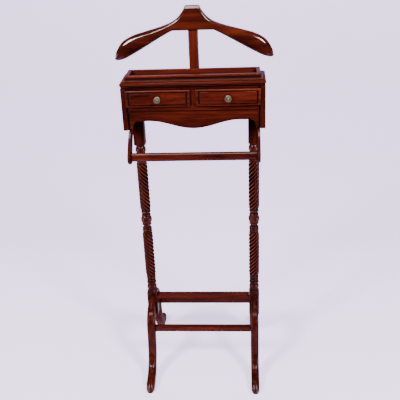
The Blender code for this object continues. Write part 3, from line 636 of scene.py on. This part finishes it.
def make_hanger():
    """Shaped coat hanger: a flat-topped crown over two broad, rounded shoulders."""
    low, high = box("hanger")
    middle_y = (low.y + high.y) / 2
    half_depth = (high.y - low.y) / 2
    reach = high.x
    top_curve = curve_through(HANGER_TOP, HANGER_CURVE_STEPS)
    bottom_curve = curve_through(HANGER_BOTTOM, HANGER_CURVE_STEPS)
    share = np.linspace(-1.0, 1.0, 2 * HANGER_STATIONS + 1)
    places = reach * np.sign(share) * (1.0 - (1.0 - np.abs(share)) ** HANGER_CROWDING)
    rings = []
    for x in places:
        top = np.interp(abs(x), top_curve[:, 0], top_curve[:, 1])
        bottom = np.interp(abs(x), bottom_curve[:, 0], bottom_curve[:, 1])
        half_height = max(THINNEST_HALF, (top - bottom) / 2)
        along = abs(x) / reach
        tip = max(0.0, along - HANGER_TIP_START) / (1.0 - HANGER_TIP_START)
        depth = half_depth * (1.0 - HANGER_TIP_NARROWING * tip ** HANGER_TIP_POWER)
        softened = min(1.0, max(0.0, (along - SOFTENING_START) / SOFTENING_LENGTH))
        power = CROWN_SQUARENESS + SHOULDER_SOFTENING * softened
        crest = HANGER_SEAT + top
        inside = (CROWN_HALF + CROWN_CHAMFER_RUN_OUT - abs(x)) / CROWN_CHAMFER_RUN_OUT
        chamfer = CROWN_CHAMFER * min(1.0, max(0.0, inside))
        ring = []
        for i in range(HANGER_SIDES):
            angle = 2 * math.pi * (i + 0.5) / HANGER_SIDES
            c, s = math.cos(angle), math.sin(angle)
            y = middle_y + depth * math.copysign(abs(c) ** power, c)
            z = HANGER_SEAT + (top + bottom) / 2 + half_height * math.copysign(abs(s) ** power, s)
            cut = max(0.0, low.y + chamfer - y)
            ring.append((x, y, min(z, high.z, crest - cut)))
        rings.append(ring)
    # Painted shade: the hanger's wood is made darker than the rest, as it sits nearest the lamps
    piece = loft("hanger_shaped", rings, mahogany("hanger_wood", "x", 23, painted_lighting_scale=0.9, gloss=0.34))
    place_piece(piece, STAND, ["hanger"])


UPRIGHT_ROUND = 0.0060
UPRIGHT_POWER = 0.80
UPRIGHT_STEPS = 14


def make_upright():
    """Flat bar behind the box, with a rounded front."""
    low, high = box("upright")
    half = (high.x - low.x) / 2
    outline = [(half, high.y), (-half, high.y)]
    for i in range(2 * UPRIGHT_STEPS + 1):
        angle = math.pi / 2 * i / UPRIGHT_STEPS
        c, s = math.cos(angle), math.sin(angle)
        outline.append((-half * math.copysign(abs(c) ** UPRIGHT_POWER, c), low.y + UPRIGHT_ROUND * (1 - s)))
    rings = [[(x, y, z) for x, y in outline] for z in (low.z, high.z)]
    # Painted light: the upright's wood is made 1.5 times brighter than the rest
    piece = loft("upright_bar", rings, mahogany("upright_wood", "z", 29, painted_lighting_scale=1.5))
    place_piece(piece, STAND, ["upright"])


# ---- Box ----

TOP_REBATE = 0.0055
TOP_NOSE_RADIUS = 0.0050
TOP_NOSE_REACH = 0.0046
TOP_NOSE_CENTRE = 0.0103
TOP_SURFACE_SET = 0.0060


def make_top_board():
    """Moulded top: a rounded edge over a small step, along the front and both ends."""
    low, high = box("top_board")
    thick = high.z - low.z
    profile = [(TOP_REBATE, 0.0), (TOP_REBATE, 0.0012)]
    for angle in quarter_turn(6):
        profile.append((TOP_REBATE - 0.0035 * math.sin(angle), 0.0016 + 0.0030 * (1 - math.cos(angle))))
    profile.append((0.0016, 0.0050))
    for i in range(13):
        angle = math.pi * (i / 12 - 0.5)
        profile.append((TOP_NOSE_REACH * (1 - math.cos(angle)),
                        TOP_NOSE_CENTRE + TOP_NOSE_RADIUS * math.sin(angle)))
    profile.append((TOP_SURFACE_SET, thick))
    rings = []
    for inset, height in profile:
        z = low.z + height
        a, b, c = low.x + inset, high.x - inset, low.y + inset
        rings.append([(a, c, z), (b, c, z), (b, high.y, z), (a, high.y, z)])
    piece = loft("top_board_moulded", rings, mahogany("top_board_wood", "x", 31))
    place_piece(piece, STAND, ["top_board"])


GALLERY_TOP_WIDTH = 0.0110
GALLERY_FILLET = 0.0022
GALLERY_COVE_HEIGHT = 0.0078
GALLERY_COVE_START = 0.0010
GALLERY_CROWN_SET = 0.0008
GALLERY_CROWN_ROUND = 0.0022
GALLERY_REAR_ROUND = 0.0010
# Painted shade in the cove under each rail's crown: between these heights, but not within 4 mm of the rear
# face
GALLERY_SHADED_BAND = (0.0030, 0.0103)
GALLERY_UNSHADED_REAR = 0.004
GALLERY_PAINTED_SHADE = 0.85


def gallery_profile(height, foot_width, top_width):
    """(distance in from the outer foot, height): fillet, cove, square crown with eased arrises."""
    slope = foot_width - top_width
    start, crown = GALLERY_COVE_START, slope - GALLERY_CROWN_SET
    profile = [(0.0, 0.0), (0.0, 0.0014), (0.0004, 0.0020)]
    for angle in quarter_turn(12):
        profile.append((start + (slope - start) * math.sin(angle),
                        GALLERY_FILLET + GALLERY_COVE_HEIGHT * (1 - math.cos(angle))))
    profile.append((crown, 0.0102))
    profile.append((crown, 0.0116))
    for angle in quarter_turn(6):
        profile.append((crown + GALLERY_CROWN_ROUND * (1 - math.cos(angle)),
                        height - GALLERY_CROWN_ROUND * (1 - math.sin(angle))))
    for angle in quarter_turn(4):
        profile.append((foot_width - GALLERY_REAR_ROUND * (1 - math.sin(angle)),
                        height - GALLERY_REAR_ROUND * (1 - math.cos(angle))))
    profile.append((foot_width, 0.0))
    return profile


def make_gallery():
    """Four moulded rails around the tray, mitred at the corners."""
    front_low, front_high = box("gallery_front_rail")
    back_high = box("gallery_back_rail")[1]
    left_low = box("gallery_left_rail")[0]
    base = front_low.z
    height = front_high.z - front_low.z
    foot_width = front_high.y - front_low.y
    profile = gallery_profile(height, foot_width, GALLERY_TOP_WIDTH)
    half = abs(left_low.x)
    front_y = front_low.y
    back_y = back_high.y
    mitre = half - GAP

    # Painted shade for the cove's points
    shaded_low, shaded_high = GALLERY_SHADED_BAND
    hollow = [
        GALLERY_PAINTED_SHADE if shaded_low < z < shaded_high and inward < foot_width - GALLERY_UNSHADED_REAR else 0.0
        for inward, z in profile
    ]

    def rail(name, ends, axis, seed):
        rings = [[end(inward, base + z) for inward, z in profile] for end in ends]
        piece = loft(f"{name}_moulded", rings, mahogany(f"{name}_wood", axis, seed), recess=hollow * 2)
        place_piece(piece, STAND, [name])

    rail("gallery_front_rail",
         [lambda i, z, e=e: (e * (mitre - i), front_y + i, z) for e in (-1, 1)], "x", 37)
    rail("gallery_back_rail",
         [lambda i, z, e=e: (e * (mitre - i), back_y - i, z) for e in (-1, 1)], "x", 41)
    for side, name, seed in ((-1, "gallery_left_rail", 43), (1, "gallery_right_rail", 47)):
        rail(name, [
            lambda i, z, s=side: (s * (half - i), front_y + i + GAP, z),
            lambda i, z, s=side: (s * (half - i), back_y - i - GAP, z),
        ], "y", seed)


STILE_FACE = 0.0147
STILE_STEP = 0.0040
# Painted shade on the stiles' rebate reaches up to this height, fading out over the last 3 mm
STILE_PAINTED_SHADE_TOP = 0.9660
STILE_PAINTED_SHADE_FADE = 0.003
STILE_EDGE = 0.0012


def make_stiles():
    """The face frame's outer stiles, rebated on the inner edge, with painted shade on the rebate and inner
    face low down.
    """
    for side, name in ((-1, "left_stile"), (1, "right_stile")):
        low, high = box(name)
        outer = high.x if side > 0 else -low.x
        inner = -high.x if side < 0 else low.x
        step = outer - STILE_FACE
        outline = [
            (inner, high.y), (inner, low.y + STILE_STEP), (step, low.y + STILE_STEP), (step, low.y),
            (outer, low.y), (outer, high.y),
        ]
        material = mahogany(f"{name}_wood", "z", 53 + side)
        rings = []
        hollows = []
        # Painted shade: full on the rebate and inner face below the fade, none above it
        painted_shade_fade_start = STILE_PAINTED_SHADE_TOP - STILE_PAINTED_SHADE_FADE
        for z, hollow in ((low.z, 1.0), (painted_shade_fade_start, 1.0), (STILE_PAINTED_SHADE_TOP, 0.0), (high.z, 0.0)):
            rings.append([(side * x, y, z) for x, y in outline])
            hollows += [hollow, hollow, hollow, 0.3 * hollow, 0.0, 0.0]
        piece = loft(f"{name}_rounded", rings, material, recess=hollows)
        ease_edges(piece, STILE_EDGE, segments=3)
        place_piece(piece, STAND, [name])


APRON_EDGE = 0.9212
APRON_DROP = 0.0247
APRON_DROP_HALF = 0.1350
BRACKET_CURVE = 0.0165
BRACKET_LAND = 0.0080
APRON_ARRIS = 0.0012
DROP_STEPS = 40
BRACKET_STEPS = 16


def make_apron():
    """Shaped apron with a shallow drop in the middle and a bracket at each end."""
    low, high = box("apron")
    half = high.x
    start = half - BRACKET_LAND - BRACKET_CURVE
    points = []
    for i in range(DROP_STEPS + 1):
        x = APRON_DROP_HALF * i / DROP_STEPS
        points.append((x, APRON_EDGE - APRON_DROP * (0.5 + 0.5 * math.cos(math.pi * x / APRON_DROP_HALF))))
    bracket_height = APRON_EDGE - low.z
    for angle in quarter_turn(BRACKET_STEPS):
        points.append((start + BRACKET_CURVE * math.sin(angle), low.z + bracket_height * math.cos(angle)))
    points.append((half, low.z))
    outline = [(-x, z) for x, z in reversed(points[1:])] + points + [(half, high.z), (-half, high.z)]
    wood = mahogany("apron_wood", "x", 59)
    piece = prism("apron_shaped", outline, 1, low.y, high.y, wood, APRON_ARRIS)
    place_piece(piece, STAND, ["apron"])


def make_boards():
    """Rails, stretchers and sides: each of its own size, with softened arrises."""
    for node, axis, edge, seed, gloss in (
        ("top_rail", "x", 0.0006, 61, 0.14), ("bottom_rail", "x", 0.0016, 67, 0.14),
        ("centre_stile", "z", 0.0006, 71, 0.14), ("left_side_panel", "z", 0.0016, 73, 0.17),
        ("right_side_panel", "z", 0.0016, 79, 0.17), ("centre_stretcher", "x", 0.0018, 83, 0.05),
        ("front_stretcher", "x", 0.0024, 89, 0.10), ("rear_stretcher", "x", 0.0024, 97, 0.10),
    ):
        piece = board(f"{node}_eased", node, mahogany(f"{node}_wood", axis, seed, gloss=gloss), edge)
        place_piece(piece, STAND, [node])


# ---- Drawers ----

# Groove and bead around the field of a drawer: (distance in from the ends, depth, painted shade)
LIP_GROOVE = [
    (0.0060, 0.0000, 0.00), (0.0072, 0.0002, 0.45), (0.0080, 0.0010, 0.95), (0.0088, 0.0020, 1.00),
    (0.0098, 0.0023, 1.00), (0.0106, 0.0020, 1.00), (0.0112, 0.0010, 0.95), (0.0120, 0.0003, 0.45),
    (0.0132, 0.0000, 0.00), (0.0150, 0.0002, 0.00),
]


LIP_THICK = 0.0060
LIP_OVERHANG_X = 0.0067
LIP_OVERHANG_Z = 0.00575
LIP_ROUND = 0.0028
LIP_ROUND_X = 0.0024
LIP_ROUND_Z = 0.0020
LIP_BACK_EASE = 0.0004
GROOVE_INSET_SHARE = 0.62  # the border is narrower above and below than at the ends


def make_drawer_front(prefix, seed):
    """Lipped drawer front: rounded lip, flat border, scratched groove and a bead around the field."""
    low, high = box(f"{prefix}_front")
    cx, cz = (low.x + high.x) / 2, (low.z + high.z) / 2
    half_x, half_z = (high.x - low.x) / 2, (high.z - low.z) / 2
    face = low.y
    lip_back = face + LIP_THICK
    stations = [
        (LIP_OVERHANG_X, LIP_OVERHANG_Z, high.y), (LIP_OVERHANG_X, LIP_OVERHANG_Z, lip_back),
        (LIP_BACK_EASE, LIP_BACK_EASE, lip_back), (0.0, 0.0, lip_back - LIP_BACK_EASE),
        (0.0, 0.0, face + LIP_ROUND),
    ]
    for angle in quarter_turn(8):
        stations.append((LIP_ROUND_X * (1 - math.cos(angle)), LIP_ROUND_Z * (1 - math.cos(angle)),
                         face + LIP_ROUND * (1 - math.sin(angle))))
    for inset, depth, _ in LIP_GROOVE:
        stations.append((inset, inset * GROOVE_INSET_SHARE, face + depth))
    rings = []
    hollows = [0.0] * 4 * (len(stations) - len(LIP_GROOVE))
    # The groove's painted shade goes into the 'recess' attribute
    for _, _, hollow in LIP_GROOVE:
        hollows += [hollow] * 4
    for in_x, in_z, y in stations:
        a, b = half_x - in_x, half_z - in_z
        rings.append([(cx - a, y, cz - b), (cx + a, y, cz - b), (cx + a, y, cz + b), (cx - a, y, cz + b)])
    # Painted light: the drawer fronts' wood is made 1.2 times brighter than the rest
    material = mahogany(f"{prefix}_front_wood", "x", seed, painted_lighting_scale=1.2)
    piece = loft(f"{prefix}_front_lipped", rings, material, recess=hollows)
    place_piece(piece, prefix, [f"{prefix}_front"])


LATHE_STEPS = 6
LATHE_SIDES = 72
LATHE_CENTRE = 0.00005
HOLLOW_WIDTH = 0.0011
HOLLOW_SHARE = 0.16


def lathe(name, profile, centre, material):
    """A turned piece along Y from (distance forward, radius), with its hollows marked for tarnish."""
    curve = curve_through(profile, LATHE_STEPS)
    curve[:, 1] = np.maximum(curve[:, 1], LATHE_CENTRE)
    spread = np.exp(-((curve[:, None, 1] - curve[None, :, 1]) ** 2
                      + (curve[:, None, 0] - curve[None, :, 0]) ** 2) / HOLLOW_WIDTH ** 2)
    local = (spread @ curve) / spread.sum(axis=1)[:, None]
    tangent = np.gradient(curve, axis=0)
    normal = np.column_stack([tangent[:, 1], -tangent[:, 0]])
    normal /= np.maximum(np.linalg.norm(normal, axis=1), 1e-9)[:, None]
    depth = np.einsum("ij,ij->i", local - curve, normal)
    hollow = np.clip(-depth / (HOLLOW_SHARE * HOLLOW_WIDTH), 0.0, 1.0)
    rings = []
    for forward, radius in curve:
        rings.append([(centre.x + across, centre.y - forward, centre.z + up)
                      for across, up in circle(LATHE_SIDES, radius)])
    return loft(name, rings, material, recess=np.repeat(hollow, LATHE_SIDES))


KNOB_PROFILE = [
    (0.0000, 0.0074), (0.0006, 0.0075), (0.0014, 0.0073), (0.0022, 0.0055), (0.0034, 0.0044),
    (0.0060, 0.0040), (0.0082, 0.0046), (0.0100, 0.0070), (0.0116, 0.0088), (0.0132, 0.0096),
    (0.0146, 0.0093), (0.0154, 0.0084), (0.0153, 0.0077), (0.0147, 0.0072), (0.0150, 0.0066),
    (0.0158, 0.0060), (0.0159, 0.0052), (0.0152, 0.0045), (0.0150, 0.0040), (0.0158, 0.0034),
    (0.0168, 0.0024), (0.0174, 0.0012), (0.0175, 0.0001),
]


def make_knobs():
    for prefix in ("left_drawer", "right_drawer"):
        node = f"{prefix}_knob"
        low, high = box(node)
        centre = Vector(((low.x + high.x) / 2, high.y, (low.z + high.z) / 2))
        material = metal(f"{node}_brass", BRASS, BRASS_TARNISH, 0.9, scale=120.0)
        piece = lathe(f"{node}_turned", KNOB_PROFILE, centre, material)
        place_piece(piece, prefix, [node])


# ---- Trouser bar ----

ARM_THICK = 0.0075
ARM_REAR = [
    (-0.0300, 0.9050), (-0.0430, 0.8860), (-0.0625, 0.8680), (-0.0770, 0.8490), (-0.0880, 0.8350),
    (-0.1000, 0.8215),
]
ARM_FRONT = [(-0.1380, 0.8460), (-0.1220, 0.8630), (-0.1060, 0.8780), (-0.0880, 0.8905)]
ARM_ROOT = (-0.0655, 0.8930)
LOBE_TURN = (-40, -225)
BOSS_RADIUS = 0.0196
BOSS_SEAT = 0.0005
BOSS_CORE_SHARE = 0.6
# Painted shade over the whole boss, where the bar meets the arm
BOSS_PAINTED_SHADE = 0.85
LOBE_STEPS = 48
ARM_CURVE_STEPS = 8
ARM_EDGE = 0.0014
ROUND_SIDES = 64
BAR_STATIONS = 60
BAR_SWELL = 0.015


def make_bar():
    """Turned bar between two shaped arms, each with a round lobe and a boss around the bar's end."""
    bar_low, bar_high = box("trouser_bar")
    bar_y, bar_z = (bar_low.y + bar_high.y) / 2, (bar_low.z + bar_high.z) / 2
    radius = (bar_high.z - bar_low.z) / 2
    arm_low, arm_high = box("right_bar_arm")
    lobe_radius = bar_y - arm_low.y
    boss = arm_high.x - arm_low.x - ARM_THICK
    lobe = []
    for i in range(LOBE_STEPS + 1):
        angle = math.radians(LOBE_TURN[0] + (LOBE_TURN[1] - LOBE_TURN[0]) * i / LOBE_STEPS)
        lobe.append((bar_y + lobe_radius * math.cos(angle), bar_z + lobe_radius * math.sin(angle)))
    rear = [tuple(p) for p in curve_through([*ARM_REAR, lobe[0]], ARM_CURVE_STEPS)]
    front = [tuple(p) for p in curve_through([lobe[-1], *ARM_FRONT], ARM_CURVE_STEPS)]
    outline = [(ARM_REAR[0][0], arm_high.z), *rear, *lobe[1:-1], *front, ARM_ROOT, (ARM_ROOT[0], arm_high.z)]
    for side, name in ((-1, "left_bar_arm"), (1, "right_bar_arm")):
        outer = side * arm_high.x
        inner = side * (arm_high.x - ARM_THICK)
        low_x, high_x = sorted((outer, inner))
        material = mahogany(f"{name}_wood", "z", 101 + side, tilt=(0.6, 0.0, 0.0))
        piece = prism(f"{name}_shaped", outline, 0, low_x, high_x, material, ARM_EDGE)
        place_piece(piece, STAND, [name])
        rings = []
        stations = (
            (-BOSS_SEAT, BOSS_RADIUS), (boss - 0.0012, BOSS_RADIUS), (boss - 0.0003, BOSS_RADIUS - 0.0008),
            (boss, BOSS_RADIUS - 0.0022), (boss, radius * BOSS_CORE_SHARE),
        )
        for across, r in stations:
            rings.append([(inner - side * across, bar_y + y, bar_z + z) for y, z in circle(ROUND_SIDES, r)])
        # Painted shade on the boss
        painted_shade = [BOSS_PAINTED_SHADE] * ROUND_SIDES * len(stations)
        piece = loft(f"{name}_boss", rings, material, recess=painted_shade)
        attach(piece, STAND)
    shoulder = arm_low.x - GAP
    rings = []
    for i in range(BAR_STATIONS + 1):
        share = i / BAR_STATIONS
        x = -shoulder + 2 * shoulder * share
        swell = radius * (1.0 - BAR_SWELL * (1.0 - math.sin(math.pi * share)))
        rings.append([(x, bar_y + y, bar_z + z) for y, z in circle(ROUND_SIDES, swell)])
    # Painted light: the bar's wood is made 1.6 times brighter than the rest
    piece = loft("trouser_bar_turned", rings, mahogany("trouser_bar_wood", "x", 103, painted_lighting_scale=1.6))
    place_piece(piece, STAND, ["trouser_bar"])


# ---- Screws and hidden timber ----

SCREW_SIDES = 96
SCREW_RINGS = 25
SCREW_DOME = 0.0020
SCREW_RIM = 0.0002
DOME_FALL = 0.92
SLOT_DEPTH = 0.0011
SLOT_HALF_WIDTH = 0.00055
SLOT_EDGE = 0.00006


def make_screws():
    """Domed screw heads with a slot, each stopped at a turn of its own."""
    for node, turn in (("lower_upright_screw", 0.3), ("upper_upright_screw", 1.2)):
        low, high = box(node)
        radius = (high.x - low.x) / 2
        seat = high.y - SCREW_DOME
        cx, cz = (low.x + high.x) / 2, (low.z + high.z) / 2
        rings = [[(cx + x, seat, cz + z) for x, z in circle(SCREW_SIDES, radius)]]
        for i in range(SCREW_RINGS):
            share = 1.0 - i / SCREW_RINGS
            ring = []
            for x, z in circle(SCREW_SIDES, radius * share):
                dome = SCREW_DOME * math.sqrt(max(0.0, 1.0 - DOME_FALL * share ** 4))
                aside = abs(x * math.cos(turn) + z * math.sin(turn))
                slot = SLOT_DEPTH / (1.0 + math.exp((aside - SLOT_HALF_WIDTH) / SLOT_EDGE))
                ring.append((cx + x, seat + max(SCREW_RIM, dome - slot), cz + z))
            rings.append(ring)
        piece = loft(f"{node}_slotted", rings, metal(f"{node}_steel", STEEL, BRASS_TARNISH, 0.5))
        place_piece(piece, STAND, [node])


def dress_cad_nodes():
    """Better finishes for the nodes that keep their CAD shape."""
    seed = 200
    for name, node in sorted(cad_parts.items()):
        seed += 3
        if name.endswith("_screw") and "knob" in name:
            finish = metal(f"{name}_steel", STEEL, BRASS_TARNISH, 0.5)
        elif name == "back_panel" or name == "bottom_board":
            finish = pine(f"{name}_wood", "x", seed)
        elif name.endswith(("_guide", "_left_wall", "_right_wall", "_bottom", "_back_wall")):
            finish = pine(f"{name}_wood", "x" if name.endswith(("_bottom", "_back_wall")) else "y", seed)
        else:
            continue
        node.material_slots[0].material = finish


# ---- Stage, lights and camera ----

def make_stage():
    """A pale floor that sweeps up into a backdrop."""
    profile = [(FLOOR_FRONT, 0.0), (WALL_Y - SWEEP_RADIUS, 0.0)]
    for angle in quarter_turn(SWEEP_STEPS)[1:]:
        profile.append((WALL_Y - SWEEP_RADIUS + SWEEP_RADIUS * math.sin(angle),
                        SWEEP_RADIUS * (1 - math.cos(angle))))
    profile.append((WALL_Y, WALL_TOP))
    verts = []
    for y, z in profile:
        verts += [(-FLOOR_HALF_WIDTH, y, z - FLOOR_DROP), (FLOOR_HALF_WIDTH, y, z - FLOOR_DROP)]
    faces = [(2 * i, 2 * i + 1, 2 * i + 3, 2 * i + 2) for i in range(len(profile) - 1)]
    stage = mesh_object("stage", verts, faces, stage_paper())


def add_softbox(name, place, aim, width, height, power, use):
    """A rectangular lamp that either lights surfaces or shows in their gloss."""
    light = bpy.data.lights.new(name, "AREA")
    light.shape = "RECTANGLE"
    light.size = width
    light.size_y = height
    light.energy = power
    lamp = bpy.data.objects.new(name, light)
    lamp.location = place
    lamp.rotation_euler = (Vector(aim) - Vector(place)).to_track_quat("-Z", "Y").to_euler()
    lamp.visible_diffuse = use == "light"
    lamp.visible_glossy = use == "gloss"
    bpy.context.collection.objects.link(lamp)


def make_lights():
    world = bpy.data.worlds.new("studio")
    world.use_nodes = True
    background = world.node_tree.nodes["Background"]
    background.inputs["Color"].default_value = (*WORLD_COLOUR, 1.0)
    background.inputs["Strength"].default_value = WORLD_STRENGTH
    bpy.context.scene.world = world
    for side, prefix in ((-1, "left"), (1, "right")):
        for name, (x, y, z), *rest in PAIRED_LAMPS:
            add_softbox(f"{prefix}_{name}", (side * x, y, z), *rest)
    for lamp in SINGLE_LAMPS:
        add_softbox(*lamp)


def make_camera():
    yaw, down, roll = (math.radians(a) for a in (CAMERA_YAW, CAMERA_DOWN, CAMERA_ROLL))
    ahead = Vector((math.sin(yaw) * math.cos(down), math.cos(yaw) * math.cos(down), -math.sin(down)))
    right = Vector((math.cos(yaw), -math.sin(yaw), 0.0))
    up = right.cross(ahead)
    turned_right = math.cos(roll) * right + math.sin(roll) * up
    turned_up = -math.sin(roll) * right + math.cos(roll) * up
    camera = bpy.data.cameras.new("camera")
    camera.lens = CAMERA_LENS
    camera.sensor_width = CAMERA_SENSOR
    camera.clip_start = 0.05
    stand = bpy.data.objects.new("camera", camera)
    turn = Matrix((turned_right, turned_up, -ahead)).transposed().to_4x4()
    stand.matrix_world = Matrix.Translation(CAMERA_PLACE) @ turn
    bpy.context.collection.objects.link(stand)
    bpy.context.scene.camera = stand


# ---- Build ----

make_post(-1, "left_post")
make_post(1, "right_post")
for leg_side, side_name in ((-1, "left"), (1, "right")):
    for leg_facing, facing_name in ((-1, "front"), (1, "rear")):
        make_leg(leg_side, leg_facing, f"{facing_name}_{side_name}_leg")
make_hanger()
make_upright()
make_top_board()
make_gallery()
make_stiles()
make_apron()
make_boards()
make_drawer_front("left_drawer", 107)
make_drawer_front("right_drawer", 109)
make_knobs()
make_bar()
make_screws()
dress_cad_nodes()
make_stage()
make_lights()
make_camera()
